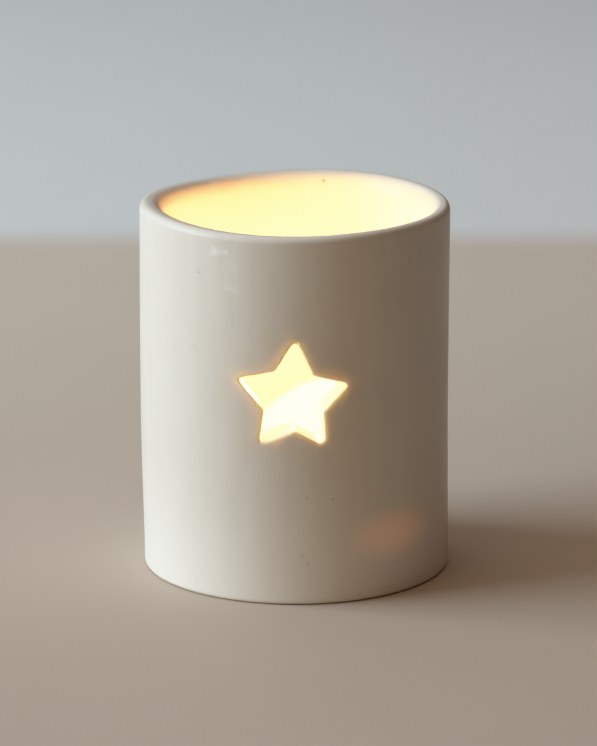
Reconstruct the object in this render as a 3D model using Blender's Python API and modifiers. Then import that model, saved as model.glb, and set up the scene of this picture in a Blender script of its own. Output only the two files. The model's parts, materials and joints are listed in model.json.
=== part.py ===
"""Ceramic tealight holder with a star cut through its wall, and the tealight that stands in it.

The holder is one slip-cast, glazed cup. The tealight is a loose foil cup of wax with its wick and
the wick's steel foot. The origin is on the holder's axis, at the surface it stands on. +Z is up,
and the star faces -Y. All lengths are in metres.
"""

import math

import bmesh
import bpy
from mathutils import Matrix

MM = 0.001

# Holder
OUTER_RADIUS = 0.0375
HEIGHT = 0.090
WALL = 0.0054
FLOOR_TOP = 0.0043
CAVITY_RADIUS = OUTER_RADIUS - WALL
CAVITY_SHIFT_X = 0.0007
CAVITY_CORNER = 0.0025
RIM_OUTER_ROUNDING = 0.0016
RIM_INNER_ROUNDING = 0.0034
BASE_ROUNDING = 0.0010
FOOT_RING_WIDTH = 0.0080
FOOT_RECESS = 0.0008
HOLDER_STEPS = 72

# Star cut through the front of the wall. Its tips and valleys run clockwise from the top tip. The
# hand cut is how far each of them stands off a regular star, in mm across and up. The slant is how
# far the cut shifts across and up between the outside of the wall and the inside.
STAR_CENTRE_X = -0.0004
STAR_CENTRE_Z = 0.0510
STAR_TIP_RADIUS = 0.01437
STAR_VALLEY_RADIUS = 0.00775
STAR_POINTS = 5
STAR_TURN = math.radians(-1.8)
STAR_TIP_ROUNDINGS = (0.0009, 0.0007, 0.00115, 0.00075, 0.0007)
STAR_VALLEY_ROUNDING = 0.0009
STAR_HAND_CUT = (
    (0.0, -0.1), (-0.2, -0.6), (-0.75, -0.95), (-0.4, -0.55), (-0.7, 0.15),
    (0.55, 0.1), (0.8, 0.2), (0.5, -0.75), (0.3, -0.45), (0.05, 0.2),
)
STAR_SLANT = (-0.0009, 0.0010)
STAR_CUT_LENGTH = 0.024

# Tealight
TEALIGHT_FROM_AXIS = 0.0115
TEALIGHT_AZIMUTH = math.radians(39.0)
CUP_RADIUS = 0.0188
CUP_HEIGHT = 0.0150
CUP_SKIN = 0.0004
CUP_CORNER = 0.0012
CUP_BEAD_RADIUS = 0.0006
CUP_STEPS = 48
WAX_LEVEL = 0.0102
WAX_MENISCUS = 0.0007
WAX_POOL_DIP = 0.0006
FOOT_DISC_RADIUS = 0.0062
FOOT_DISC_THICKNESS = 0.0004
FOOT_NECK_RADIUS = 0.0016
FOOT_NECK_HEIGHT = 0.0030
WICK_RADIUS = 0.0008
WICK_TOP = 0.0185
WICK_LEAN = 0.0016
SMALL_STEPS = 24

# Clearance that touching pieces keep
GAP = 0.0003

SMOOTH_ANGLE = math.radians(35.0)
ROUNDING_STEPS = 5
MERGE_DISTANCE = 0.00001


def clear_scene():
    for obj in list(bpy.data.objects):
        bpy.data.objects.remove(obj, do_unlink=True)


def new_collection(name):
    collection = bpy.data.collections.new(name)
    bpy.context.scene.collection.children.link(collection)
    return collection


def new_material(name, colour, roughness, metallic=0.0):
    material = bpy.data.materials.new(name)
    material.use_nodes = True
    shader = material.node_tree.nodes["Principled BSDF"]
    shader.inputs["Base Color"].default_value = (*colour, 1.0)
    shader.inputs["Roughness"].default_value = roughness
    shader.inputs["Metallic"].default_value = metallic
    return material


def arc(centre, radius, start_degrees, end_degrees, steps=ROUNDING_STEPS):
    """Points along an arc, both ends included."""
    points = []
    for step in range(steps + 1):
        share = step / steps
        angle = math.radians(start_degrees + (end_degrees - start_degrees) * share)
        across = centre[0] + radius * math.cos(angle)
        up = centre[1] + radius * math.sin(angle)
        points.append((across, up))
    return points


def shade_round(mesh):
    mesh.shade_smooth()
    mesh.set_sharp_from_angle(angle=SMOOTH_ANGLE)


def turned(name, profile, collection, steps):
    """A solid of revolution about Z. The profile is (radius, height) pairs, down the outer side."""
    mesh = bpy.data.meshes.new(name)
    vertices = [(radius, 0.0, height) for radius, height in profile]
    count = len(vertices)
    closed = profile[0][0] > 0.0
    edges = [(i, (i + 1) % count) for i in range(count if closed else count - 1)]
    mesh.from_pydata(vertices, edges, [])
    obj = bpy.data.objects.new(name, mesh)
    collection.objects.link(obj)
    screw = obj.modifiers.new("turn", "SCREW")
    screw.axis = "Z"
    screw.steps = steps
    screw.render_steps = steps
    screw.use_merge_vertices = True
    screw.merge_threshold = MERGE_DISTANCE
    screw.use_smooth_shade = True
    return obj


def applied(obj):
    """The object with its modifiers or its curve turned into plain mesh, welded."""
    graph = bpy.context.evaluated_depsgraph_get()
    mesh = bpy.data.meshes.new_from_object(obj.evaluated_get(graph))
    work = bmesh.new()
    work.from_mesh(mesh)
    bmesh.ops.remove_doubles(work, verts=work.verts, dist=MERGE_DISTANCE)
    bmesh.ops.recalc_face_normals(work, faces=work.faces)
    work.to_mesh(mesh)
    work.free()
    name = obj.name
    collection = obj.users_collection[0]
    matrix = obj.matrix_world.copy()
    bpy.data.objects.remove(obj, do_unlink=True)
    solid = bpy.data.objects.new(name, mesh)
    solid.matrix_world = matrix
    collection.objects.link(solid)
    return solid


def make_cutter(obj):
    obj.hide_render = True
    obj.display_type = "WIRE"
    return obj


def cut(obj, cutter):
    difference = obj.modifiers.new("cut_" + cutter.name, "BOOLEAN")
    difference.operation = "DIFFERENCE"
    difference.solver = "EXACT"
    difference.object = cutter


def rounded_corner(before, corner, after, radius):
    """Points of the arc that rounds off one corner of an outline."""
    to_before = ((before[0] - corner[0]), (before[1] - corner[1]))
    to_after = ((after[0] - corner[0]), (after[1] - corner[1]))
    angle_before = math.atan2(to_before[1], to_before[0])
    angle_after = math.atan2(to_after[1], to_after[0])
    opening = (angle_after - angle_before + math.pi) % math.tau - math.pi
    half = abs(opening) / 2
    middle = angle_before + opening / 2
    reach = radius / math.sin(half)
    centre = (corner[0] + reach * math.cos(middle), corner[1] + reach * math.sin(middle))
    sweep = math.pi - 2 * half
    turn = math.copysign(1.0, opening)
    start = middle + math.pi + turn * sweep / 2
    end = middle + math.pi - turn * sweep / 2
    return arc(centre, radius, math.degrees(start), math.degrees(end))


def star_corners():
    """The star's tips and valleys about its own centre, each with its rounding."""
    corners = []
    for index, (slip_across, slip_up) in enumerate(STAR_HAND_CUT):
        tip, is_valley = divmod(index, 2)
        radius = STAR_VALLEY_RADIUS if is_valley else STAR_TIP_RADIUS
        rounding = STAR_VALLEY_ROUNDING if is_valley else STAR_TIP_ROUNDINGS[tip]
        angle = math.pi / 2 + STAR_TURN - index * math.pi / STAR_POINTS
        across = radius * math.cos(angle) + slip_across * MM
        up = radius * math.sin(angle) + slip_up * MM
        corners.append((across, up, rounding))
    return corners


def star_outline():
    """The star's outline about its own centre, with rounded tips and valleys."""
    corners = star_corners()
    outline = []
    for index, corner in enumerate(corners):
        before = corners[index - 1]
        after = corners[(index + 1) % len(corners)]
        outline.extend(rounded_corner(before, corner, after, corner[2]))
    return outline


def star_cutter(collection):
    """A slanted prism of the star, which runs along Y through the front of the wall."""
    outline = star_outline()
    curve = bpy.data.curves.new("star_cutter", "CURVE")
    curve.dimensions = "2D"
    curve.fill_mode = "BOTH"
    curve.extrude = STAR_CUT_LENGTH / 2
    spline = curve.splines.new("POLY")
    spline.points.add(len(outline) - 1)
    for point, (across, up) in zip(spline.points, outline):
        point.co = (across, up, 0.0, 1.0)
    spline.use_cyclic_u = True
    obj = bpy.data.objects.new("star_cutter", curve)
    collection.objects.link(obj)
    obj.matrix_world = (
        Matrix.Translation((STAR_CENTRE_X, -OUTER_RADIUS, STAR_CENTRE_Z))
        @ Matrix.Rotation(math.pi / 2, 4, "X")
    )
    bpy.context.view_layer.update()
    cutter = applied(obj)
    slant = Matrix.Identity(4)
    slant[0][2] = -STAR_SLANT[0] / WALL
    slant[1][2] = -STAR_SLANT[1] / WALL
    cutter.data.transform(slant)
    return make_cutter(cutter)


def cavity_cutter(collection):
    """The inside of the cup, with its rounded lower corner and its flare at the rim."""
    above = HEIGHT + 0.004
    flare = arc(
        (CAVITY_RADIUS + RIM_INNER_ROUNDING, HEIGHT - RIM_INNER_ROUNDING),
        RIM_INNER_ROUNDING, 110.0, 180.0,
    )
    corner = arc(
        (CAVITY_RADIUS - CAVITY_CORNER, FLOOR_TOP + CAVITY_CORNER),
        CAVITY_CORNER, 0.0, -90.0,
    )
    profile = [(0.0, above), (flare[0][0], above)] + flare + corner + [(0.0, FLOOR_TOP)]
    obj = turned("cavity_cutter", profile, collection, HOLDER_STEPS)
    obj.location.x = CAVITY_SHIFT_X
    bpy.context.view_layer.update()
    return make_cutter(applied(obj))


def make_holder(parts, cutters):
    rim = arc(
        (OUTER_RADIUS - RIM_OUTER_ROUNDING, HEIGHT - RIM_OUTER_ROUNDING),
        RIM_OUTER_ROUNDING, 90.0, 0.0,
    )
    base = arc(
        (OUTER_RADIUS - BASE_ROUNDING, BASE_ROUNDING),
        BASE_ROUNDING, 0.0, -90.0,
    )
    foot_inner = OUTER_RADIUS - BASE_ROUNDING - FOOT_RING_WIDTH
    foot = [
        (foot_inner, 0.0),
        (foot_inner - FOOT_RECESS, FOOT_RECESS),
        (0.0, FOOT_RECESS),
    ]
    profile = [(0.0, HEIGHT)] + rim + base + foot
    holder = applied(turned("holder", profile, parts, HOLDER_STEPS))
    cut(holder, cavity_cutter(cutters))
    cut(holder, star_cutter(cutters))
    holder = applied(holder)
    shade_round(holder.data)
    glaze = new_material("white_glaze", (0.80, 0.77, 0.70), 0.22)
    holder.data.materials.append(glaze)
    return holder


def make_cup(parts):
    """The foil cup: a thin pressed wall that ends in a rolled bead."""
    inner = CUP_RADIUS - CUP_SKIN
    inner_rounding = CUP_CORNER - CUP_SKIN
    inner_corner = arc(
        (inner - inner_rounding, CUP_SKIN + inner_rounding), inner_rounding, -90.0, 0.0, 3
    )
    bead_centre = (CUP_RADIUS - CUP_SKIN / 2, CUP_HEIGHT - CUP_BEAD_RADIUS)
    wall_angle = math.degrees(math.asin(CUP_SKIN / 2 / CUP_BEAD_RADIUS))
    bead = arc(bead_centre, CUP_BEAD_RADIUS, 270.0 - wall_angle, wall_angle - 90.0, 10)
    outer_corner = arc((CUP_RADIUS - CUP_CORNER, CUP_CORNER), CUP_CORNER, 0.0, -90.0, 3)
    profile = [(0.0, CUP_SKIN)] + inner_corner + bead + outer_corner + [(0.0, 0.0)]
    cup = turned("tealight_cup", profile, parts, CUP_STEPS)
    cup.data.materials.append(new_material("foil", (0.77, 0.78, 0.79), 0.30, 1.0))
    return cup


def make_wax(parts):
    """The wax: a slug that fills the cup to its level, open in the middle for the wick's foot."""
    radius = CUP_RADIUS - CUP_SKIN - GAP
    floor = CUP_SKIN + GAP
    rounding = CUP_CORNER - CUP_SKIN
    bore = WICK_RADIUS + GAP
    neck = FOOT_NECK_RADIUS + GAP
    pocket = FOOT_DISC_RADIUS + GAP
    pocket_top = floor + FOOT_DISC_THICKNESS + GAP
    neck_top = CUP_SKIN + GAP + FOOT_NECK_HEIGHT + GAP
    lower_corner = arc((radius - rounding, floor + rounding), rounding, 0.0, -90.0, 3)
    profile = [
        (bore, WAX_LEVEL - WAX_POOL_DIP),
        (0.45 * radius, WAX_LEVEL - WAX_POOL_DIP),
        (0.90 * radius, WAX_LEVEL),
        (radius, WAX_LEVEL + WAX_MENISCUS),
    ]
    profile += lower_corner
    profile += [
        (pocket, floor),
        (pocket, pocket_top),
        (neck, pocket_top),
        (neck, neck_top),
        (bore, neck_top),
    ]
    wax = turned("wax", profile, parts, CUP_STEPS)
    wax.data.materials.append(new_material("candle_wax", (0.90, 0.88, 0.80), 0.45))
    return wax


def make_wick_foot(parts):
    """The wick's steel foot: a thin disc with a short crimped neck that grips the wick."""
    floor = CUP_SKIN + GAP
    top = floor + FOOT_DISC_THICKNESS
    neck_top = floor + FOOT_NECK_HEIGHT
    bore = WICK_RADIUS + GAP
    profile = [
        (bore, neck_top),
        (FOOT_NECK_RADIUS, neck_top),
        (FOOT_NECK_RADIUS, top),
        (FOOT_DISC_RADIUS, top),
        (FOOT_DISC_RADIUS, floor),
        (bore, floor),
    ]
    foot = turned("wick_sustainer", profile, parts, SMALL_STEPS)
    foot.data.materials.append(new_material("tinned_steel", (0.60, 0.60, 0.58), 0.35, 1.0))
    return foot


def make_wick(parts):
    """The wick: a cord that stands up from its foot and leans over at its burnt end."""
    curve = bpy.data.curves.new("wick", "CURVE")
    curve.dimensions = "3D"
    curve.bevel_depth = WICK_RADIUS
    curve.bevel_resolution = 2
    curve.use_fill_caps = True
    base = CUP_SKIN + GAP
    bend_start = WAX_LEVEL
    heights = [base, bend_start]
    bend_steps = 5
    for step in range(1, bend_steps + 1):
        heights.append(bend_start + (WICK_TOP - bend_start) * step / bend_steps)
    spline = curve.splines.new("POLY")
    spline.points.add(len(heights) - 1)
    for point, height in zip(spline.points, heights):
        share = max(0.0, (height - bend_start) / (WICK_TOP - bend_start))
        point.co = (WICK_LEAN * share**2, 0.0, height, 1.0)
    wick = bpy.data.objects.new("wick", curve)
    parts.objects.link(wick)
    wick.data.materials.append(new_material("charred_cotton", (0.10, 0.08, 0.07), 0.90))
    return wick


def make_tealight(parts):
    """The tealight, on an empty that stands on the holder's floor, off centre, near the front."""
    base = bpy.data.objects.new("tealight_base", None)
    parts.objects.link(base)
    base.location = (
        CAVITY_SHIFT_X + TEALIGHT_FROM_AXIS * math.sin(TEALIGHT_AZIMUTH),
        -TEALIGHT_FROM_AXIS * math.cos(TEALIGHT_AZIMUTH),
        FLOOR_TOP + GAP,
    )
    for piece in (make_cup(parts), make_wax(parts), make_wick_foot(parts), make_wick(parts)):
        piece.parent = base


def main():
    clear_scene()
    parts = new_collection("tealight_holder")
    cutters = new_collection("cutters")
    make_holder(parts, cutters)
    make_tealight(parts)


main()
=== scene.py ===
"""Looks for the ceramic tealight holder: the glazed cup with its star, and the lit tealight in it.

Everything is in metres in the frame of the CAD model: the origin is on the holder's axis at the
surface it stands on, +Z is up and the star faces -Y. Azimuths are measured from the front,
positive towards +X.
"""

import json
import math

import bpy
import numpy as np
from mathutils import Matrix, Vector

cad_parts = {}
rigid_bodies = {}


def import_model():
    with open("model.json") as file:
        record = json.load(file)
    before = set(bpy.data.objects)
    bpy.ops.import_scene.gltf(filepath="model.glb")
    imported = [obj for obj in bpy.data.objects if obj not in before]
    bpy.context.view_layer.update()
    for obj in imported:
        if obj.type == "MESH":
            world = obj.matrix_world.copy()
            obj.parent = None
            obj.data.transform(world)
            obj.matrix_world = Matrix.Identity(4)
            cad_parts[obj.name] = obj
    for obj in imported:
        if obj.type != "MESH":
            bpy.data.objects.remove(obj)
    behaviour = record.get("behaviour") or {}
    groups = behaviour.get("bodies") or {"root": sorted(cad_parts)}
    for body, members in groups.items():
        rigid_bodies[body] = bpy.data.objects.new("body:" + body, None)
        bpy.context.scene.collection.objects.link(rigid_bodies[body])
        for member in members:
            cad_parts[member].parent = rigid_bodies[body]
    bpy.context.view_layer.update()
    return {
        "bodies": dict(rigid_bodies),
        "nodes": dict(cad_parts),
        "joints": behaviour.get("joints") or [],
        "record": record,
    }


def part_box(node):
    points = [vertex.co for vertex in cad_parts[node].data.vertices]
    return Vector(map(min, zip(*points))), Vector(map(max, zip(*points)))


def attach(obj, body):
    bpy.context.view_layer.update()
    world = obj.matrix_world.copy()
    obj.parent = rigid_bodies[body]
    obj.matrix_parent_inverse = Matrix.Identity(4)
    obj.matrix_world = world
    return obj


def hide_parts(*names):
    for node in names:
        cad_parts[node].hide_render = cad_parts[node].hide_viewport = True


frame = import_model()

MM = 0.001

# ---------------------------------------------------------------- sizes read from the frame

holder_low, holder_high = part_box("holder")
cup_low, cup_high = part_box("tealight_cup")
wax_low, wax_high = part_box("wax")
wick_low, wick_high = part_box("wick")
foot_low, foot_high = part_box("wick_sustainer")

OUTER_RADIUS = (holder_high.x - holder_low.x) / 2
HEIGHT = holder_high.z
TEALIGHT_X = (cup_low.x + cup_high.x) / 2
TEALIGHT_Y = (cup_low.y + cup_high.y) / 2
CUP_RADIUS = (cup_high.x - cup_low.x) / 2
CUP_FLOOR = cup_low.z
CUP_TOP = cup_high.z
WAX_RADIUS = (wax_high.x - wax_low.x) / 2
WAX_BOTTOM = wax_low.z
WAX_TOP = wax_high.z
WICK_TOP = wick_high.z
FOOT_BOTTOM = foot_low.z
WICK_HOLE = 0.95 * MM

# ---------------------------------------------------------------- sizes of the holder's clay

WALL = 5.4 * MM
CAVITY_RADIUS = OUTER_RADIUS - WALL
CAVITY_SHIFT = 0.7 * MM
FLOOR_TOP = 4.3 * MM
CAVITY_CORNER = 2.5 * MM
BASE_ROUNDING = 1.0 * MM
FOOT_RING_WIDTH = 8.0 * MM
FOOT_RECESS = 0.8 * MM
SHOULDER_WIDTH = 1.6 * MM
SHOULDER_DROP = 1.7 * MM
LIP_WIDTH = 3.3 * MM
LIP_DROP = 4.6 * MM

STAR_X = -0.4 * MM
STAR_Z = 51.0 * MM
STAR_TIP = 14.37 * MM
STAR_VALLEY = 7.75 * MM
STAR_POINTS = 5
STAR_TURN = math.radians(-1.8)
STAR_TIP_ROUNDINGS = (0.9 * MM, 0.7 * MM, 1.15 * MM, 0.75 * MM, 0.7 * MM)
STAR_VALLEY_ROUNDING = 0.9 * MM
STAR_HAND_CUT = (
    (0.0, -0.1), (-0.2, -0.6), (-0.75, -0.95), (-0.4, -0.55), (-0.7, 0.15),
    (0.55, 0.1), (0.8, 0.2), (0.5, -0.75), (0.3, -0.45), (0.05, 0.2),
)
STAR_EDGE_OUT = 0.70 * MM
STAR_EDGE_IN = 0.75 * MM
STAR_SLANT = np.array([-0.9, 1.0]) * MM

# ---------------------------------------------------------------- sizes of the flame

FLAME_LOW = WAX_TOP + 2.0 * MM
FLAME_HEIGHT = 19.0 * MM
FLAME_RADIUS = 3.4 * MM
FLAME_LEAN = 0.8 * MM

# ---------------------------------------------------------------- fineness of the meshes

PATCH_HALF = 19.0 * MM
PATCH_STEPS = 60
BACK_STEPS = 200
HALF_EDGE_STEPS = 4 * PATCH_STEPS // (2 * STAR_POINTS)
PATCH_LOW = STAR_Z - PATCH_HALF
PATCH_HIGH = STAR_Z + PATCH_HALF
POLE_RADIUS = 1.2 * MM


# ================================================================ material helpers


class Material:
    """A small wrapper that makes a node material a line at a time."""

    def __init__(self, name):
        self.material = bpy.data.materials.new(name)
        self.material.use_nodes = True
        self.tree = self.material.node_tree
        self.shader = self.tree.nodes["Principled BSDF"]
        self.position = self.node("ShaderNodeTexCoord").outputs["Object"]

    def node(self, kind, **settings):
        made = self.tree.nodes.new(kind)
        for key, value in settings.items():
            setattr(made, key, value)
        return made

    def feed(self, socket, value):
        """Gives a socket a constant or links an output to it."""
        if isinstance(value, bpy.types.NodeSocket):
            self.tree.links.new(value, socket)
        elif isinstance(value, tuple) and len(value) == 3 and socket.type == "RGBA":
            socket.default_value = (*value, 1.0)
        else:
            socket.default_value = value

    def set(self, **values):
        """Sets the shader's sockets: underscores stand for spaces."""
        for key, value in values.items():
            self.feed(self.shader.inputs[key.replace("_", " ")], value)

    def math(self, operation, first, second):
        made = self.node("ShaderNodeMath", operation=operation)
        self.feed(made.inputs[0], first)
        self.feed(made.inputs[1], second)
        return made.outputs[0]

    def ramp(self, value, low, high, to_low=0.0, to_high=1.0):
        """A smooth step from one end value to the other. Low may be above high."""
        made = self.node("ShaderNodeMapRange", interpolation_type="SMOOTHSTEP")
        for socket, given in zip(made.inputs, (value, low, high, to_low, to_high)):
            self.feed(socket, given)
        return made.outputs[0]

    def mix(self, share, first, second):
        made = self.node("ShaderNodeMix", data_type="RGBA")
        colour_a, colour_b = (s for s in made.inputs if s.type == "RGBA")
        self.feed(made.inputs["Factor"], share)
        self.feed(colour_a, first)
        self.feed(colour_b, second)
        return next(s for s in made.outputs if s.type == "RGBA")

    def noise(self, scale, detail=2.0, roughness=0.5, stretch=(1.0, 1.0, 1.0), shift=0.0):
        """Cloudy noise from 0 to 1 in object space. Shift moves it, so two layers can differ."""
        mapping = self.node("ShaderNodeMapping")
        self.feed(mapping.inputs["Vector"], self.position)
        mapping.inputs["Scale"].default_value = stretch
        mapping.inputs["Location"].default_value = (shift, shift, shift)
        made = self.node("ShaderNodeTexNoise")
        self.feed(made.inputs["Vector"], mapping.outputs[0])
        self.feed(made.inputs["Scale"], scale)
        self.feed(made.inputs["Detail"], detail)
        self.feed(made.inputs["Roughness"], roughness)
        return made.outputs["Fac"]

    def distance(self, place, stretch=(1.0, 1.0, 1.0)):
        """The distance from a place, measured with each axis stretched."""
        mapping = self.node("ShaderNodeMapping")
        self.feed(mapping.inputs["Vector"], self.position)
        mapping.inputs["Scale"].default_value = stretch
        mapping.inputs["Location"].default_value = [-p * s for p, s in zip(place, stretch)]
        made = self.node("ShaderNodeVectorMath", operation="LENGTH")
        self.feed(made.inputs[0], mapping.outputs[0])
        return made.outputs["Value"]

    def axis(self, name):
        made = self.node("ShaderNodeSeparateXYZ")
        self.feed(made.inputs[0], self.position)
        return made.outputs[name]

    def bump(self, *layers):
        """Gives the shader its bump, from layers that are each (height, strength, depth in metres)."""
        normal = None
        for height, strength, depth in layers:
            made = self.node("ShaderNodeBump")
            self.feed(made.inputs["Height"], height)
            self.feed(made.inputs["Strength"], strength)
            self.feed(made.inputs["Distance"], depth)
            if normal is not None:
                self.feed(made.inputs["Normal"], normal)
            normal = made.outputs[0]
        self.feed(self.shader.inputs["Normal"], normal)


# ================================================================ mesh helpers


def new_object(name, points, faces, material, smooth_angle=50.0):
    """A mesh object from points and faces, with smooth shading."""
    mesh = bpy.data.meshes.new(name)
    mesh.from_pydata([tuple(p) for p in points], [], faces)
    mesh.validate()
    mesh.update()
    mesh.shade_smooth()
    mesh.set_sharp_from_angle(angle=math.radians(smooth_angle))
    mesh.materials.append(material)
    obj = bpy.data.objects.new(name, mesh)
    bpy.context.scene.collection.objects.link(obj)
    return obj


def spread(low, high, steps, ends=True):
    """Evenly spaced values. Without ends, the first and last are left out."""
    values = np.linspace(low, high, steps + 1)
    return values if ends else values[1:-1]


def quarter(steps):
    """Angles from 0 to 90 degrees, the first left out."""
    return np.linspace(0.0, math.pi / 2, steps + 1)[1:]


class Lathe:
    """Builds a closed turned mesh from rows of points, ring by ring, with a fan at each end."""

    def __init__(self, columns):
        self.columns = columns
        self.points = []
        self.faces = []

    def pole(self, point):
        self.points.append(point)
        return len(self.points) - 1

    def ring(self, points):
        start = len(self.points)
        self.points.extend(points)
        return start

    def band(self, first, second, skip=None):
        for j in range(self.columns):
            if skip is not None and skip(j):
                continue
            k = (j + 1) % self.columns
            self.faces.append((first + j, first + k, second + k, second + j))

    def fan(self, pole, ring, below):
        for j in range(self.columns):
            k = (j + 1) % self.columns
            face = (pole, ring + k, ring + j) if below else (pole, ring + j, ring + k)
            self.faces.append(face)


# ================================================================ the holder's shape


def ease(low, high, value):
    """A smooth step from 0 at low to 1 at high."""
    share = np.clip((value - low) / (high - low), 0.0, 1.0)
    return share * share * (3 - 2 * share)


def handmade(points):
    """Bends the perfect shape a little, the way a slip-cast and hand-finished cup comes out. Belly,
    tuck and oval move the wall in or out, lean moves the foot sideways, tilt and wave lift the rim."""
    x, y, z = points.T
    azimuth = np.arctan2(x, -y)
    radius = np.hypot(x, y)
    up = z / HEIGHT
    belly = MM * np.sin(math.pi * np.clip(up, 0, 1)) * (0.05 + 0.17 * np.cos(azimuth + 1.5))
    tuck = -0.22 * MM * ease(0.35, 0.0, up) * (0.6 - 0.1 * np.sin(azimuth))
    oval = 0.10 * MM * np.cos(2 * azimuth + 0.6 + 1.4 * up) + 0.05 * MM * np.cos(3 * azimuth - 2.0 * up)
    swell = (belly + tuck + oval) * ease(0.35, 0.9, radius / OUTER_RADIUS)
    rim = ease(0.55, 1.0, up)
    tilt = 0.23 + 0.06 * np.cos(azimuth + 1.15)
    wave = 0.29 * np.cos(2 * azimuth + 2.24) + 0.28 * np.cos(3 * azimuth - 2.08)
    lean = 0.28 * MM * ease(0.45, 0.0, up)
    scale = 1 + swell / np.maximum(radius, 1e-6)
    return np.stack([x * scale + lean, y * scale, z + rim * MM * (tilt + wave)], axis=1)


def rounded_star():
    """The star's outline about its own centre, clockwise from the top tip, HALF_EDGE_STEPS points
    from each tip to the next valley and as many back."""
    corners = []
    for index in range(2 * STAR_POINTS):
        radius = STAR_VALLEY if index % 2 else STAR_TIP
        angle = math.pi / 2 + STAR_TURN - index * math.pi / STAR_POINTS
        slip = np.array(STAR_HAND_CUT[index]) * MM
        corners.append(np.array([radius * math.cos(angle), radius * math.sin(angle)]) + slip)
    outline = []
    for index in range(len(corners)):
        outline.extend(half_edge(corners, index))
    return np.array(outline)


def corner_rounding(index):
    """The rounding of a corner of the star. Even corners are tips, odd ones valleys."""
    tip, is_valley = divmod(index % (2 * STAR_POINTS), 2)
    return STAR_VALLEY_ROUNDING if is_valley else STAR_TIP_ROUNDINGS[tip]


def half_edge(corners, index):
    """Points from the middle of one corner's rounding to the middle of the next one's."""
    before, start, end, after = (corners[(index + i) % len(corners)] for i in (-1, 0, 1, 2))
    path = list(corner_half(before, start, end, corner_rounding(index), leaving=True))
    path += list(corner_half(start, end, after, corner_rounding(index + 1), leaving=False))
    path = np.array(path)
    lengths = np.concatenate([[0], np.cumsum(np.hypot(*np.diff(path, axis=0).T))])
    share = np.arange(HALF_EDGE_STEPS) / HALF_EDGE_STEPS
    crowded = share - 0.5 * np.sin(2 * math.pi * share) / (2 * math.pi)
    wanted = crowded * lengths[-1]
    return np.stack([np.interp(wanted, lengths, path[:, axis]) for axis in (0, 1)], axis=1)


def corner_half(before, corner, after, radius, leaving):
    """The half of a corner's rounding arc next to the edge that leaves or enters the corner."""
    incoming = (before - corner) / np.linalg.norm(before - corner)
    outgoing = (after - corner) / np.linalg.norm(after - corner)
    middle = (incoming + outgoing) / np.linalg.norm(incoming + outgoing)
    half = math.acos(np.clip(incoming @ outgoing, -1, 1)) / 2
    centre = corner + middle * radius / math.sin(half)
    towards = outgoing if leaving else incoming
    touch = corner + towards * radius / math.tan(half)
    start_arm = -middle
    end_arm = (touch - centre) / radius
    sweep = math.acos(np.clip(start_arm @ end_arm, -1, 1))
    arms = []
    for share in np.linspace(0, 1, 12):
        weight_start = math.sin((1 - share) * sweep) / math.sin(sweep)
        weight_end = math.sin(share * sweep) / math.sin(sweep)
        arms.append(centre + radius * (weight_start * start_arm + weight_end * end_arm))
    return arms if leaving else arms[::-1]


def outward_normals(outline):
    """Unit normals of a clockwise closed outline, pointing away from its inside."""
    along = np.roll(outline, -1, axis=0) - np.roll(outline, 1, axis=0)
    along /= np.linalg.norm(along, axis=1)[:, None]
    return np.stack([-along[:, 1], along[:, 0]], axis=1)


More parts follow.
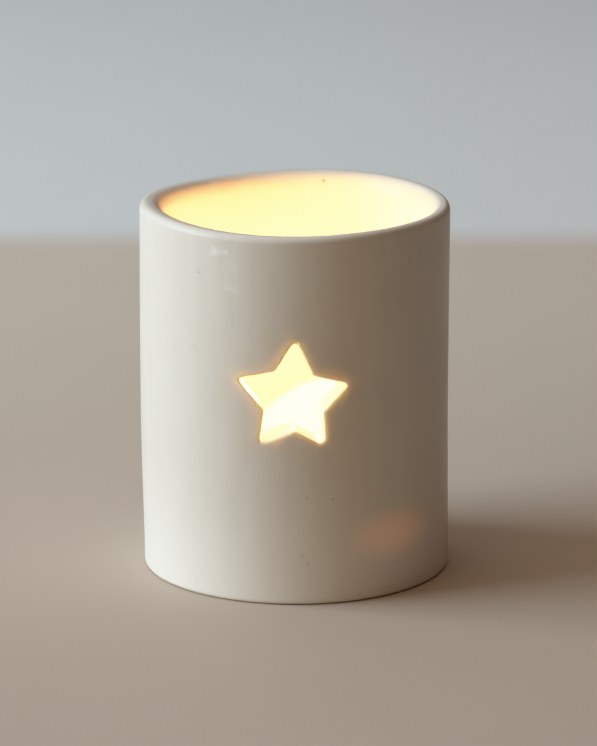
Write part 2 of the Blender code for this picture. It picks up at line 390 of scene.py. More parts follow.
class HolderShape:
    """The holder's wall as one closed mesh: turned rows, with the star worked into the front."""

    def __init__(self):
        across = spread(STAR_X - PATCH_HALF, STAR_X + PATCH_HALF, PATCH_STEPS)
        outer = np.arcsin(across / OUTER_RADIUS)
        inner = np.arcsin((across - CAVITY_SHIFT) / CAVITY_RADIUS)
        self.outer_azimuth = self.round_the_back(outer)
        self.inner_azimuth = self.round_the_back(inner)
        self.lathe = Lathe(PATCH_STEPS + BACK_STEPS)

    @staticmethod
    def round_the_back(front):
        back = spread(front[-1], front[0] + 2 * math.pi, BACK_STEPS, ends=False)
        return np.concatenate([front, back])

    def outer_ring(self, radius, height):
        """A ring about the outer axis."""
        return self.circle(self.outer_azimuth, radius, height, 0.0)

    def inner_ring(self, radius, height):
        """A ring about the cavity's axis."""
        return self.circle(self.inner_azimuth, radius, height, CAVITY_SHIFT)

    @staticmethod
    def circle(azimuth, radius, height, shift):
        return np.stack([
            shift + radius * np.sin(azimuth),
            -radius * np.cos(azimuth),
            np.full_like(azimuth, height),
        ], axis=1)

    def crest_ring(self, share, drop):
        """A ring on the rim, share of the way from the outer face to the cavity's face."""
        outer = self.outer_ring(OUTER_RADIUS, HEIGHT - drop)
        inner = self.inner_ring(CAVITY_RADIUS, HEIGHT - drop)
        return outer * (1 - share) + inner * share

    def rows(self):
        """(name, ring) pairs from the middle of the underside, up the outside and down the inside."""
        yield from self.underside_rows()
        yield from self.foot_rows()
        yield from self.outside_rows()
        yield from self.rim_rows()
        yield from self.inside_rows()

    def underside_rows(self):
        """The recess under the floor, and its edge, which curves down to the foot ring."""
        foot_inner = OUTER_RADIUS - BASE_ROUNDING - FOOT_RING_WIDTH
        recess_edge = foot_inner - 1.2 * FOOT_RECESS
        half_step = 0.6 * FOOT_RECESS
        for radius in spread(POLE_RADIUS, recess_edge, 14):
            yield "underside", self.outer_ring(radius, FOOT_RECESS)
        for turn in quarter(3):
            radius = recess_edge + half_step * math.sin(turn)
            yield "underside", self.outer_ring(radius, FOOT_RECESS * (0.5 + 0.5 * math.cos(turn)))
        for turn in quarter(3):
            radius = foot_inner - half_step * math.cos(turn)
            yield "underside", self.outer_ring(radius, FOOT_RECESS * 0.5 * (1 - math.sin(turn)))

    def foot_rows(self):
        foot_outer = OUTER_RADIUS - BASE_ROUNDING
        for radius in spread(foot_outer - FOOT_RING_WIDTH + 0.4 * MM, foot_outer, 6):
            yield "foot", self.outer_ring(radius, 0.0)
        for turn in quarter(8):
            radius = foot_outer + BASE_ROUNDING * math.sin(turn)
            yield "base", self.outer_ring(radius, BASE_ROUNDING * (1 - math.cos(turn)))

    def outside_rows(self):
        for height in spread(BASE_ROUNDING, PATCH_LOW, 32, ends=False):
            yield "outside", self.outer_ring(OUTER_RADIUS, height)
        for height in spread(PATCH_LOW, PATCH_HIGH, PATCH_STEPS):
            yield "outside_patch", self.outer_ring(OUTER_RADIUS, height)
        for height in spread(PATCH_HIGH, HEIGHT - SHOULDER_DROP, 19, ends=False):
            yield "outside", self.outer_ring(OUTER_RADIUS, height)

    def rim_rows(self):
        """The rim: a tight shoulder on the outside and a long soft lip on the inside."""
        for turn in np.concatenate([[0.0], quarter(9)]):
            share = SHOULDER_WIDTH / WALL * (1 - math.cos(turn))
            yield "rim", self.crest_ring(share, SHOULDER_DROP * (1 - math.sin(turn)))
        for turn in quarter(10):
            share = 1 - LIP_WIDTH / WALL * (1 - math.sin(turn))
            yield "rim", self.crest_ring(share, LIP_DROP * (1 - math.cos(turn)))

    def inside_rows(self):
        for height in spread(HEIGHT - LIP_DROP, PATCH_HIGH, 20, ends=False):
            yield "inside", self.inner_ring(CAVITY_RADIUS, height)
        for height in spread(PATCH_HIGH, PATCH_LOW, PATCH_STEPS):
            yield "inside_patch", self.inner_ring(CAVITY_RADIUS, height)
        for height in spread(PATCH_LOW, FLOOR_TOP + CAVITY_CORNER, 27, ends=False):
            yield "inside", self.inner_ring(CAVITY_RADIUS, height)
        for turn in np.concatenate([[0.0], quarter(7)]):
            radius = CAVITY_RADIUS - CAVITY_CORNER * (1 - math.cos(turn))
            yield "corner", self.inner_ring(radius, FLOOR_TOP + CAVITY_CORNER * (1 - math.sin(turn)))
        for radius in spread(CAVITY_RADIUS - CAVITY_CORNER, POLE_RADIUS, 18)[1:]:
            yield "floor", self.inner_ring(radius, FLOOR_TOP)

    def build(self):
        """The points and faces of the whole holder."""
        lathe = self.lathe
        bottom = lathe.pole((0.0, 0.0, FOOT_RECESS))
        names = []
        starts = []
        for name, ring in self.rows():
            names.append(name)
            starts.append(lathe.ring(ring))
        top = lathe.pole((CAVITY_SHIFT, 0.0, FLOOR_TOP))
        lathe.fan(bottom, starts[0], below=True)
        for index in range(len(starts) - 1):
            in_patch = names[index].endswith("patch") and names[index] == names[index + 1]
            skip = (lambda j: j < PATCH_STEPS) if in_patch else None
            lathe.band(starts[index], starts[index + 1], skip)
        lathe.fan(top, starts[-1], below=False)
        outside = [s for n, s in zip(names, starts) if n == "outside_patch"]
        inside = [s for n, s in zip(names, starts) if n == "inside_patch"][::-1]
        self.work_in_star(outside, inside)
        return handmade(np.array(lathe.points)), lathe.faces

    def window_frame(self, starts):
        """The indices of the patch's border, clockwise from the middle of its top side.
        starts are the patch's rows from low to high."""
        n = PATCH_STEPS
        top = [starts[n] + j for j in range(n // 2, n)]
        right = [starts[n - i] + n for i in range(n)]
        low = [starts[0] + n - j for j in range(n)]
        left = [starts[i] for i in range(n)]
        rest = [starts[n] + j for j in range(n // 2)]
        return top + right + low + left + rest

    def work_in_star(self, outside, inside):
        """Fills the two patches with rings that run into the star, through the wall and out again."""
        outline = np.array([STAR_X, STAR_Z]) + rounded_star()
        normals = outward_normals(outline)
        border_out = self.window_frame(outside)
        border_in = self.window_frame(inside)
        points = np.array(self.lathe.points)
        rings = [border_out]
        rings += self.front_rings(outline, normals, points[border_out][:, [0, 2]])
        for share in spread(0.0, 1.0, 8, ends=False):
            rings.append(self.tunnel_ring(outline + STAR_SLANT * share, share))
        rings += self.cavity_rings(outline + STAR_SLANT, normals, points[border_in][:, [0, 2]])
        rings.append(border_in)
        self.stitch(rings)

    def front_rings(self, outline, normals, frame):
        """Rings from the outside patch's border to the star, then over its rounded outer edge."""
        rings = []
        edge = outline + normals * STAR_EDGE_OUT
        for share in 1 - spread(0.0, 1.0, 15, ends=False) ** 0.75:
            rings.append(self.front_ring(edge + (frame - edge) * share, 0.0))
        for turn in np.concatenate([[0.0], quarter(6)]):
            flat = outline + normals * STAR_EDGE_OUT * (1 - math.sin(turn))
            rings.append(self.front_ring(flat, STAR_EDGE_OUT * (1 - math.cos(turn))))
        return rings

    def cavity_rings(self, outline, normals, frame):
        """Rings over the star's rounded inner edge, then out to the inside patch's border."""
        rings = []
        for turn in np.concatenate([[0.0], quarter(5)])[::-1]:
            flat = outline + normals * STAR_EDGE_IN * (1 - math.sin(turn))
            rings.append(self.cavity_ring(flat, STAR_EDGE_IN * (1 - math.cos(turn))))
        edge = outline + normals * STAR_EDGE_IN
        for share in spread(0.0, 1.0, 15, ends=False) ** 1.33:
            rings.append(self.cavity_ring(edge + (frame - edge) * share, 0.0))
        return rings

    def stitch(self, rings):
        """Faces between each ring of point indices and the next."""
        count = len(rings[0])
        for first, second in zip(rings, rings[1:]):
            for i in range(count):
                k = (i + 1) % count
                self.lathe.faces.append((first[i], first[k], second[k], second[i]))

    def add(self, points):
        start = self.lathe.ring([tuple(p) for p in points])
        return list(range(start, start + len(points)))

    @staticmethod
    def front_depth(across):
        """The outer face's Y at an X near the front."""
        return -np.sqrt(OUTER_RADIUS**2 - across**2)

    @staticmethod
    def cavity_depth(across):
        """The cavity's Y at an X near the front."""
        return -np.sqrt(CAVITY_RADIUS**2 - (across - CAVITY_SHIFT) ** 2)

    def front_ring(self, flat, deep):
        return self.add(np.stack([flat[:, 0], self.front_depth(flat[:, 0]) + deep, flat[:, 1]], axis=1))

    def cavity_ring(self, flat, deep):
        return self.add(np.stack([flat[:, 0], self.cavity_depth(flat[:, 0]) - deep, flat[:, 1]], axis=1))

    def tunnel_ring(self, flat, share):
        """A ring in the star's cut, share of the way from its outer edge to its inner edge."""
        start = self.front_depth(flat[:, 0]) + STAR_EDGE_OUT
        end = self.cavity_depth(flat[:, 0]) - STAR_EDGE_IN
        return self.add(np.stack([flat[:, 0], start + (end - start) * share, flat[:, 1]], axis=1))


# ================================================================ materials


# Azimuth in degrees and height in mm
PINHOLES = (
    (-37.2, 80.0), (46.4, 81.7), (53.9, 52.3), (4.3, 26.7), (13.9, 26.1), (2.5, 12.3), (4.7, 10.3),
)
INNER_PINHOLE = (7.1 * MM, 32.3 * MM, 88.0 * MM)

# The colour of painted candle light on the inside wall.
CANDLE_TINT = (0.87, 0.71, 0.50)
# The colour of painted bounce light from the floor, low on the outside wall.
BOUNCE_LIT_WHITE = (0.97, 0.91, 0.825)
# The colour of a painted reflection of the key lamp in the glaze under the rim.
REFLECTION_WHITE = (0.96, 0.94, 0.89)
PINHOLE_BROWN = (0.30, 0.24, 0.18)


def pinholes(m):
    """How far each place is inside a dark pinhole: seven small ones outside, a bigger one inside."""
    total = m.ramp(m.distance(INNER_PINHOLE), 0.75 * MM, 0.25 * MM, 0.0, 0.9)
    for azimuth, height in PINHOLES:
        place = at_azimuth(azimuth, OUTER_RADIUS, height * MM)
        mark = m.ramp(m.distance(place), 0.50 * MM, 0.12 * MM, 0.0, 0.32)
        total = m.math("MAXIMUM", total, mark)
    return total


def painted_reflection_run(m):
    """A painted reflection of the key lamp, laid where the glaze ran thicker under the rim: a hook at the
    top, and a run down from it with a crisp right edge and a bead at its foot. Across is the azimuth in
    radians."""
    across = m.math("ARCTAN2", m.axis("X"), m.math("MULTIPLY", m.axis("Y"), -1.0))
    height = m.axis("Z")
    wobble = m.noise(160.0, detail=2.0, shift=11.0)
    across = m.math("ADD", across, m.ramp(wobble, 0.2, 0.8, -0.02, 0.02))
    height = m.math("ADD", height, m.ramp(wobble, 0.2, 0.8, -1.5 * MM, 1.5 * MM))
    run = m.math("MULTIPLY", m.ramp(across, -0.49, -0.455), m.ramp(height, 74.8 * MM, 75.6 * MM))
    run = m.math("MULTIPLY", run, m.ramp(across, -0.36, -0.39))
    run = m.math("MULTIPLY", run, m.ramp(height, 78.0 * MM, 76.8 * MM, 0.25, 0.6))
    hook = m.math("MULTIPLY", m.ramp(across, -0.57, -0.53), m.ramp(across, -0.41, -0.44))
    hook = m.math("MULTIPLY", hook, m.ramp(height, 85.3 * MM, 85.9 * MM))
    shape = m.math("MAXIMUM", hook, run)
    shape = m.math("MULTIPLY", shape, m.ramp(height, 87.4 * MM, 86.7 * MM))
    patchy = m.ramp(m.noise(420.0, shift=5.0), 0.35, 0.6, 0.45, 0.9)
    return m.math("MULTIPLY", shape, patchy)


def glaze_white(m, outside):
    """The glaze's white: cloudy, in faint vertical runs, freckled, and lighter towards the foot with
    painted bounce light from the floor.
    """
    cloud = m.noise(45.0, detail=3.0, roughness=0.55)
    freckle = m.noise(900.0, detail=1.0, shift=3.0)
    runs = m.noise(260.0, detail=2.0, stretch=(1.0, 1.0, 0.12), shift=9.0)
    # Painted bounce light: the outside wall is made lighter towards the foot.
    bounce_lit = m.math("MULTIPLY", m.ramp(m.axis("Z"), 34.0 * MM, 2.0 * MM, 0.0, 0.8), outside)
    white = m.mix(m.ramp(cloud, 0.2, 0.8), (0.87, 0.815, 0.73), (0.85, 0.785, 0.69))
    white = m.mix(m.ramp(runs, 0.35, 0.65, 0.0, 0.22), white, (0.79, 0.72, 0.62))
    white = m.mix(bounce_lit, white, BOUNCE_LIT_WHITE)
    return m.mix(m.ramp(freckle, 0.79, 0.84, 0.0, 0.3), white, (0.45, 0.38, 0.30))


def painted_candle_tint(m, off_axis):
    """How strongly painted candle light tints the glaze cream: only on the inside, more towards +X and up
    from the lower third.
    """
    inside = m.ramp(off_axis, OUTER_RADIUS - 2.8 * MM, OUTER_RADIUS - 4.4 * MM)
    inside = m.math("MULTIPLY", inside, m.ramp(m.axis("Z"), 24.0 * MM, 46.0 * MM))
    return m.math("MULTIPLY", inside, m.ramp(m.axis("X"), -15 * MM, 28 * MM))


def glaze_material():
    """White satin glaze, bare on the foot ring and translucent in a halo round the star."""
    m = Material("white_glaze")
    bare = m.ramp(m.axis("Z"), 0.35 * MM, 0.15 * MM)
    off_axis = m.distance((0.0, 0.0, 0.0), (1.0, 1.0, 0.0))
    outside = m.ramp(off_axis, OUTER_RADIUS - 1.8 * MM, OUTER_RADIUS - 0.8 * MM)
    near_star = m.ramp(m.distance((STAR_X, 1.5 * MM - OUTER_RADIUS, STAR_Z)), 22.0 * MM, 14.0 * MM)
    near_star = m.math("MULTIPLY", near_star, outside)
    # Painted candle light: the inside wall is tinted cream, more towards +X where the flame stands.
    glazed = m.mix(painted_candle_tint(m, off_axis), glaze_white(m, outside), CANDLE_TINT)
    glazed = m.mix(pinholes(m), glazed, PINHOLE_BROWN)
    # Painted reflection: a lighter streak under the rim stands in for the key lamp's reflection.
    glazed = m.mix(painted_reflection_run(m), glazed, REFLECTION_WHITE)
    bisque = m.mix(m.noise(1200.0), (0.72, 0.66, 0.57), (0.62, 0.55, 0.46))
    gloss = m.ramp(m.noise(60.0, shift=1.0), 0.2, 0.8, 0.33, 0.40)
    m.set(
        Base_Color=m.mix(bare, glazed, bisque),
        Roughness=m.math("ADD", gloss, m.math("MULTIPLY", bare, 0.4)),
        IOR=1.5,
        Specular_IOR_Level=0.25,
        Subsurface_Weight=near_star,
        Subsurface_Scale=1.8 * MM,
        Subsurface_Radius=(1.0, 0.95, 0.35),
    )
    m.bump(
        (m.noise(70.0, detail=1.0, shift=5.0), 0.20, 0.4 * MM),
        (m.noise(420.0, detail=2.0, shift=7.0), 0.12, 0.10 * MM),
    )
    return m.material


def wax_material():
    """Pale translucent paraffin, glossy where it has melted."""
    m = Material("candle_wax")
    m.set(
        Base_Color=m.mix(m.noise(300.0), (0.93, 0.91, 0.84), (0.90, 0.87, 0.78)),
        Roughness=m.ramp(m.noise(500.0, shift=2.0), 0.3, 0.7, 0.12, 0.30),
        Subsurface_Weight=1.0,
        Subsurface_Scale=3.0 * MM,
        Subsurface_Radius=(1.0, 0.6, 0.35),
    )
    m.bump((m.noise(350.0, shift=4.0), 0.15, 0.15 * MM))
    return m.material


def foil_material():
    """Drawn aluminium, brushed round the cup."""
    m = Material("foil")
    m.set(
        Base_Color=m.mix(m.noise(800.0), (0.88, 0.88, 0.89), (0.78, 0.79, 0.80)),
        Metallic=1.0,
        Roughness=m.ramp(m.noise(600.0, stretch=(1.0, 1.0, 8.0)), 0.3, 0.7, 0.18, 0.34),
    )
    m.bump((m.noise(900.0, detail=3.0), 0.2, 0.05 * MM))
    return m.material


def steel_material():
    m = Material("tinned_steel")
    m.set(
        Base_Color=m.mix(m.noise(900.0), (0.66, 0.66, 0.65), (0.54, 0.54, 0.52)),
        Metallic=1.0,
        Roughness=m.ramp(m.noise(700.0, shift=2.0), 0.3, 0.7, 0.28, 0.45),
    )
    m.bump((m.noise(1500.0), 0.2, 0.03 * MM))
    return m.material


def wick_material():
    """Cotton that turns to char above the wax, with an ember at the tip."""
    m = Material("wick_cotton")
    height = m.axis("Z")
    char = m.ramp(height, WAX_TOP + 0.5 * MM, WAX_TOP + 3.0 * MM)
    ember = m.ramp(height, WICK_TOP - 1.2 * MM, WICK_TOP)
    cotton = m.mix(m.noise(2500.0), (0.75, 0.70, 0.60), (0.55, 0.50, 0.42))
    flicker = m.ramp(m.noise(2500.0, shift=3.0), 0.35, 0.65, 0.5, 3.0)
    m.set(
        Base_Color=m.mix(char, cotton, (0.02, 0.017, 0.015)),
        Roughness=m.ramp(height, WAX_TOP, WAX_TOP + 3.0 * MM, 0.45, 0.95),
        Emission_Color=(1.0, 0.25, 0.04),
        Emission_Strength=m.math("MULTIPLY", ember, flicker),
    )
    m.bump((m.noise(3000.0), 0.5, 0.08 * MM))
    return m.material


def flame_material():
    """Faint blue at the foot, bright yellow above."""
    m = Material("flame")
    height = m.ramp(m.axis("Z"), WAX_TOP + 1.0 * MM, WAX_TOP + 20.0 * MM)
    hot = m.ramp(height, 0.05, 0.35)
    m.set(
        Base_Color=m.mix(hot, (0.1, 0.15, 0.5), (1.0, 0.75, 0.35)),
        Emission_Color=m.mix(hot, (0.15, 0.25, 1.0), (1.0, 0.62, 0.22)),
        Emission_Strength=m.ramp(height, 0.02, 0.30, 0.6, 9.0),
        Alpha=m.ramp(height, 0.0, 0.25, 0.25, 0.92),
        Roughness=1.0,
        Specular_IOR_Level=0.0,
    )
    return m.material


def make_holder():
    """The glazed cup: one piece of clay."""
    points, faces = HolderShape().build()
    holder = new_object("holder_glazed", points, faces, glaze_material())
    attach(holder, "holder")
    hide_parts("holder")
    return holder


# ================================================================ the tealight


def turned_piece(name, profile, columns, material, warp=None, closed=False):
    """A turned mesh about the tealight's axis. The profile is (radius, height) pairs. An open
    profile starts and ends on the axis; a closed one is a loop that doesn't reach it."""
    azimuth = np.arange(columns) * 2 * math.pi / columns
    lathe = Lathe(columns)
    middle = profile if closed else profile[1:-1]
    starts = []
    for radius, height in middle:
        ring = np.stack([
            radius * np.sin(azimuth), -radius * np.cos(azimuth), np.full(columns, height)
        ], axis=1)
        starts.append(lathe.ring(warp(ring, azimuth, radius, height) if warp else ring))
    pairs = list(zip(starts, starts[1:]))
    if closed:
        pairs.append((starts[-1], starts[0]))
    else:
        lathe.fan(lathe.pole((0.0, 0.0, profile[0][1])), starts[0], below=True)
        lathe.fan(lathe.pole((0.0, 0.0, profile[-1][1])), starts[-1], below=False)
    for first, second in pairs:
        lathe.band(first, second)
    points = np.array(lathe.points) + (TEALIGHT_X, TEALIGHT_Y, 0.0)
    return new_object(name, points, lathe.faces, material)


def arc(centre_r, centre_z, radius, start, end, steps):
    """(radius, height) points along an arc, with its angles in degrees."""
    angles = np.radians(np.linspace(start, end, steps + 1))
    return [(centre_r + radius * math.cos(a), centre_z + radius * math.sin(a)) for a in angles]


def make_cup():
    """Pressed foil: a stepped bottom, small pleats round the lower edge and a rolled rim."""
    skin = 0.16 * MM
    bead = 0.55 * MM
    side = CUP_RADIUS - bead
    low = CUP_FLOOR
    high = CUP_TOP
    corner = 1.1 * MM
    step = 0.45 * MM
    taper = 0.25 * MM
    outline = [(0.0, low + step), (side - 5.0 * MM, low + step)]
    outline += [(side - 4.4 * MM, low + step)]
    outline += [(side - 3.9 * MM, low), (side - corner - 0.6 * MM, low)]
    outline += arc(side - corner - taper, low + corner, corner, -80, -5, 6)
    wall_height = high - low - corner - 1.6 * bead
    outline += [(side - taper * (1 - s), low + corner + wall_height * s) for s in spread(0, 1, 12)]
    outline += arc(side, high - bead, bead, -75, 200, 16)
    below_bead = outline[1:-17]
    for radius, height in reversed(below_bead):
        raised = skin if height < low + 2 * corner else 0.0
        outline.append((radius - skin, height + raised))
    outline.append((0.0, low + step + skin))

    def pleats(ring, azimuth, radius, height):
        """Fine ripples round the lower edge of the wall."""
        depth = 0.10 * MM * math.exp(-((height - low - 1.2 * MM) / (1.6 * MM)) ** 2)
        ripple = depth * np.cos(64 * azimuth) * (radius > side - 3.5 * MM)
        return ring * np.stack([1 - ripple / radius, 1 - ripple / radius, np.ones_like(azimuth)], axis=1)

    cup = turned_piece("tealight_foil_cup", outline, 256, foil_material(), pleats)
    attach(cup, "tealight")
    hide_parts("tealight_cup")
    return cup


def make_wax():
    """The wax, with the meniscus at the foil, the melted pool and the collar round the wick."""
    radius = WAX_RADIUS
    level = WAX_TOP - 0.7 * MM
    pool = 0.55 * MM
    top = []
    for s in spread(0, 1, 40):
        r = radius * (1 - s) + WICK_HOLE * s
        meniscus = 0.7 * MM * math.exp(-(radius - r) / (0.7 * MM))
        dip = -pool * float(ease(0.93 * radius, 0.72 * radius, r))
        collar = 0.5 * MM * math.exp(-(r - WICK_HOLE) / (0.6 * MM))
        top.append((r, level + meniscus + dip + collar))
    bottom = [(WICK_HOLE, WAX_BOTTOM), (0.5 * radius, WAX_BOTTOM), (radius - 1.0 * MM, WAX_BOTTOM)]
    bottom += arc(radius - 0.8 * MM, WAX_BOTTOM + 0.8 * MM, 0.8 * MM, -80, 0, 5)

    def uneven(ring, azimuth, r, height):
        """A slightly wavy edge to the melted pool."""
        if height < level - pool - MM:
            return ring
        wave = 0.10 * MM * np.cos(3 * azimuth + 1.0) + 0.06 * MM * np.cos(7 * azimuth)
        edge = math.exp(-((r - 0.82 * radius) / (1.6 * MM)) ** 2)
        return ring + np.stack([0 * wave, 0 * wave, wave * edge], axis=1)

    profile = bottom + top
    wax = turned_piece("wax_fill", profile, 128, wax_material(), uneven, closed=True)
    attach(wax, "tealight")
    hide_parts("wax")
    return wax


def make_wick_foot():
    """A stamped disc with a crimped neck, pinched in four places round the wick."""
    disc = (foot_high.x - foot_low.x) / 2
    bottom = FOOT_BOTTOM
    top = bottom + 0.3 * MM
    neck_top = foot_high.z
    profile = [(WICK_HOLE, bottom), (disc - 0.15 * MM, bottom)]
    profile += arc(disc - 0.15 * MM, bottom + 0.15 * MM, 0.15 * MM, -90, 90, 6)
    profile += [(3.4 * MM, top), (3.0 * MM, top + 0.2 * MM), (2.1 * MM, top + 0.25 * MM)]
    profile += [(1.55 * MM, top + 0.6 * MM)]
    profile += [(1.5 * MM, top + (neck_top - top) * s) for s in (0.3, 0.45, 0.6, 0.75, 0.9)]
    profile += arc(1.35 * MM, neck_top - 0.15 * MM, 0.15 * MM, 0, 180, 5)
    profile += [(1.05 * MM, top + 0.5 * MM)]

    def crimp(ring, azimuth, radius, height):
        """Four dents in the neck."""
        if height < top + 0.5 * MM:
            return ring
        pinch = 0.10 * MM * np.maximum(0.0, np.cos(4 * azimuth)) ** 3 * (radius > 1.2 * MM)
        return ring * np.stack([1 - pinch / radius, 1 - pinch / radius, np.ones_like(azimuth)], axis=1)

    foot = turned_piece("wick_foot", profile, 96, steel_material(), crimp, closed=True)
    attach(foot, "tealight")
    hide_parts("wick_sustainer")
    return foot


def wick_centre(height):
    """The wick's middle at a height: upright in the wax, leaning over towards its burnt tip."""
    bend = np.clip((height - WAX_TOP) / (WICK_TOP - WAX_TOP), 0, 1)
    return np.array([TEALIGHT_X + 1.6 * MM * bend**2, TEALIGHT_Y, height])


def make_wick():
    """Three braided strands as one closed tube, frayed a little at the burnt tip."""
    columns = 72
    rows = 150
    low = wick_low.z
    high = WICK_TOP
    pitch = 2.4 * MM
    lathe = Lathe(columns)
    azimuth = np.arange(columns) * 2 * math.pi / columns
    starts = []
    for height in spread(low, high - 0.15 * MM, rows):
        burnt = float(ease(WAX_TOP + 1 * MM, high, height))
        strands = np.abs(np.cos(1.5 * azimuth + math.pi * height / pitch))
        counter = np.abs(np.cos(1.5 * azimuth - math.pi * height / pitch))
        radius = (0.50 + 0.10 * strands + 0.10 * counter) * MM * (1 + 0.12 * burnt)
        centre = wick_centre(height)
        ring = np.stack([
            centre[0] + radius * np.sin(azimuth),
            centre[1] - radius * np.cos(azimuth),
            np.full(columns, centre[2]),
        ], axis=1)
        starts.append(lathe.ring(ring))
    for first, second in zip(starts, starts[1:]):
        lathe.band(first, second)
    lathe.fan(lathe.pole(tuple(wick_centre(low))), starts[0], below=True)
    tip = wick_centre(high)
    lathe.fan(lathe.pole(tuple(tip)), starts[-1], below=False)
    wick = new_object("wick_braid", lathe.points, lathe.faces, wick_material())
    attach(wick, "tealight")
    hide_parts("wick")
    return wick


def make_flame():
    """A teardrop flame round the wick's tip. It throws no shadow and lights no other piece: the
    flame lamps do that, and one of them stands inside it."""
    columns = 64
    rows = 60
    lathe = Lathe(columns)
    azimuth = np.arange(columns) * 2 * math.pi / columns
    starts = []
    for share in spread(0, 1, rows, ends=False):
        width = FLAME_RADIUS * math.sin(math.pi * share**0.62) ** 0.9 * (1 - 0.25 * share)
        height = FLAME_LOW + FLAME_HEIGHT * share
        lean = FLAME_LEAN * share**2
        centre = wick_centre(min(height, WICK_TOP)) * (1 - share) + wick_centre(WAX_TOP) * share
        ring = np.stack([
            centre[0] + lean + width * np.sin(azimuth),
            centre[1] - 0.82 * width * np.cos(azimuth),
            np.full(columns, height),
        ], axis=1)
        starts.append(lathe.ring(ring))
    for first, second in zip(starts, starts[1:]):
        lathe.band(first, second)
    low = wick_centre(FLAME_LOW)
    top = wick_centre(WAX_TOP) + np.array([FLAME_LEAN, 0, 0])
    lathe.fan(lathe.pole((low[0], low[1], FLAME_LOW)), starts[0], below=True)
    lathe.fan(lathe.pole((top[0], top[1], FLAME_LOW + FLAME_HEIGHT)), starts[-1], below=False)
    flame = new_object("flame", lathe.points, lathe.faces, flame_material(), 80.0)
    flame.visible_shadow = False
    flame.visible_diffuse = False
    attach(flame, "tealight")
    return flame


# ================================================================ stage, lights and camera


def floor_material():
    """A warm pale surface with painted light that makes it lighter towards the back, and pale grey-blue
    beyond.
    """
    m = Material("pale_floor")
    far = m.ramp(m.axis("Y"), 0.322, 0.362)
    # Painted light: the floor's colour grows lighter towards the back.
    painted_back_light = m.ramp(m.axis("Y"), -0.10, 0.32)
    near_tone = m.mix(m.noise(9.0), (0.62, 0.51, 0.41), (0.585, 0.475, 0.38))
    m.set(
        Base_Color=m.mix(far, m.mix(painted_back_light, near_tone, (0.74, 0.635, 0.53)), (0.845, 0.87, 0.865)),
        Roughness=m.ramp(m.noise(25.0), 0.3, 0.7, 0.65, 0.70),
    )
    return m.material


def make_floor():
    """A plain surface just under the holder's foot."""
    reach = 6.0
    corners = [(-reach, -reach, 0), (reach, -reach, 0), (reach, reach, 0), (-reach, reach, 0)]
    mesh = bpy.data.meshes.new("floor")
    mesh.from_pydata(corners, [], [(0, 1, 2, 3)])
    mesh.materials.append(floor_material())
    floor = bpy.data.objects.new("floor", mesh)
    bpy.context.scene.collection.objects.link(floor)
    floor.location.z = -0.05 * MM


def add_area_light(name, azimuth, elevation, distance, width, height, watts, colour,
                   aim=(0, 0, 45 * MM)):
    """A soft box that faces the aim point, from an azimuth and elevation in degrees."""
    data = bpy.data.lights.new(name, "AREA")
    data.shape = "RECTANGLE"
    data.size = width
    data.size_y = height
    data.energy = watts
    data.color = colour
    lamp = bpy.data.objects.new(name, data)
    bpy.context.scene.collection.objects.link(lamp)
    a = math.radians(azimuth)
    e = math.radians(elevation)
    direction = Vector((math.sin(a) * math.cos(e), -math.cos(a) * math.cos(e), math.sin(e)))
    lamp.location = Vector(aim) + direction * distance
    lamp.rotation_euler = direction.to_track_quat("Z", "Y").to_euler()
    return lamp


def add_flame_lamp(name, kind, place, radius, watts, colour, lit):
    """A lamp that rides on the tealight and lights only the pieces in one collection."""
    data = bpy.data.lights.new(name, kind)
    data.energy = watts
    data.color = colour
    data.shadow_soft_size = radius
    lamp = bpy.data.objects.new(name, data)
    bpy.context.scene.collection.objects.link(lamp)
    lamp.location = place
    lamp.light_linking.receiver_collection = lit
    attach(lamp, "tealight")
    return lamp


def add_flame_spot(name, place, aim, degrees, blend, watts, colour, lit, stretch=1.0):
    """A flame lamp that shines in a cone. Stretch widens the cone sideways."""
    lamp = add_flame_lamp(name, "SPOT", place, 1.0 * MM, watts, colour, lit)
    lamp.data.spot_size = math.radians(degrees)
    lamp.data.spot_blend = blend
    lamp.rotation_euler = (Vector(place) - Vector(aim)).to_track_quat("Z", "Y").to_euler()
    lamp.scale = (stretch, 1.0, 1.0)
    lamp.visible_glossy = False
    return lamp


def at_azimuth(degrees, radius, height):
    """The place at an azimuth, a distance from the holder's axis and a height."""
    a = math.radians(degrees)
    return (radius * math.sin(a), -radius * math.cos(a), height)


def make_flame_lamps(holder, tealight):
    """The flame's light on the wall, through the clay, on the star's cut and on the tealight."""
    add_flame_lamp("candle", "POINT", (TEALIGHT_X - 3 * MM, TEALIGHT_Y, FLAME_LOW + 2.15 * FLAME_HEIGHT),
                   radius=2.5 * MM, watts=0.104, colour=(1.0, 0.614, 0.285), lit=holder)
    add_flame_spot("through_clay", at_azimuth(39, OUTER_RADIUS + 30 * MM, 15.6 * MM), (0, 0, 15.6 * MM),
                   degrees=27.0, blend=1.0, watts=0.0031, colour=(1.0, 0.23, 0.0), lit=holder, stretch=2.0)
    add_flame_spot("flame_on_wall", (TEALIGHT_X, TEALIGHT_Y, 36 * MM), (20 * MM, CAVITY_RADIUS, -0.4 * MM),
                   degrees=94.0, blend=0.10, watts=0.046, colour=(0.56, 0.78, 1.0), lit=holder)
    add_flame_spot("flame_on_cut", (-20 * MM, -5 * MM, 60 * MM), (STAR_X, -CAVITY_RADIUS, STAR_Z),
                   degrees=60.0, blend=0.6, watts=0.20, colour=(1.0, 0.70, 0.32), lit=holder)
    add_flame_lamp("flame_on_wax", "POINT", (TEALIGHT_X, TEALIGHT_Y, FLAME_LOW + 0.5 * FLAME_HEIGHT),
                   radius=1.5 * MM, watts=0.003, colour=(1.0, 0.70, 0.36), lit=tealight)


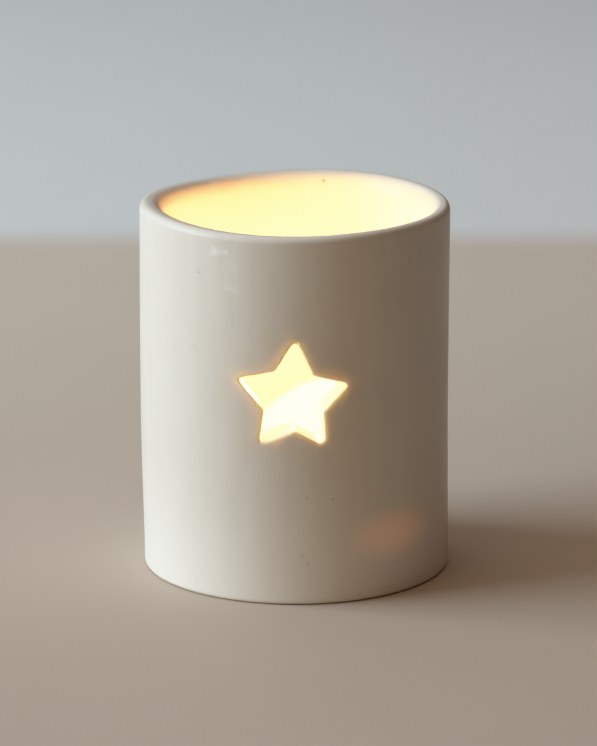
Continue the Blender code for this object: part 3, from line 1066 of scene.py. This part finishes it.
def make_studio():
    """A big soft lamp at the left, a weak one overhead, warm fill, and a lamp on the backdrop."""
    add_area_light("key", azimuth=-86, elevation=27, distance=2.0, width=1.43, height=1.57,
                   watts=48.0, colour=(0.69, 0.855, 0.985))
    add_area_light("overhead", azimuth=0, elevation=90, distance=1.6, width=1.4, height=1.4,
                   watts=5.4, colour=(1.0, 0.78, 0.61))
    add_area_light("side_fill", azimuth=-40, elevation=18, distance=1.4, width=1.0, height=0.7,
                   watts=2.1, colour=(1.0, 0.68, 0.30))
    add_area_light("backdrop", azimuth=180, elevation=90, distance=0.8, width=0.9, height=0.5,
                   watts=1.02, colour=(0.96, 0.97, 0.95), aim=(-0.22, 0.60, 0.0))
    world = bpy.data.worlds.new("room")
    world.use_nodes = True
    background = world.node_tree.nodes["Background"]
    background.inputs["Color"].default_value = (1.0, 0.54, 0.28, 1.0)
    background.inputs["Strength"].default_value = 0.027
    bpy.context.scene.world = world


def make_camera():
    """A long lens that looks down at the star's side of the holder."""
    data = bpy.data.cameras.new("camera")
    data.sensor_width = 36.0
    data.lens = 222.5
    data.clip_start = 0.05
    data.clip_end = 20.0
    camera = bpy.data.objects.new("camera", data)
    bpy.context.scene.collection.objects.link(camera)
    camera.location = (0.80 * MM, -1086.2 * MM, 339.8 * MM)
    camera.rotation_euler = (math.radians(90.0 - 15.07), 0.0, 0.0)
    bpy.context.scene.camera = camera


def soft_highlights(knee=0.78, room=0.21, white=2.0, points=9):
    """A tone curve that leaves everything below the knee alone and rolls the highlights off."""
    settings = bpy.context.scene.view_settings
    settings.view_transform = "Standard"
    settings.use_curve_mapping = True
    mapping = settings.curve_mapping
    mapping.white_level = (white, white, white)
    mapping.extend = "HORIZONTAL"
    curve = mapping.curves[3].points
    curve[0].location = (0.0, 0.0)
    curve[1].location = (1.0, knee + room * (1 - math.exp(-(white - knee) / room)))
    for share in np.linspace(0.0, 1.0, points)[:-1]:
        value = knee + (white - knee) * share**1.8
        rolled = knee + room * (1 - math.exp(-(value - knee) / room))
        curve.new(value / white, rolled)
    curve.new(knee / white * 0.5, knee * 0.5)
    for point in curve:
        point.handle_type = "VECTOR"
    mapping.update()


def main():
    make_camera()
    holder = bpy.data.collections.new("holder_pieces")
    holder.objects.link(make_holder())
    tealight = bpy.data.collections.new("tealight_pieces")
    for piece in (make_cup(), make_wax(), make_wick_foot(), make_wick()):
        tealight.objects.link(piece)
    make_flame()
    make_floor()
    make_flame_lamps(holder, tealight)
    make_studio()
    soft_highlights()


main()
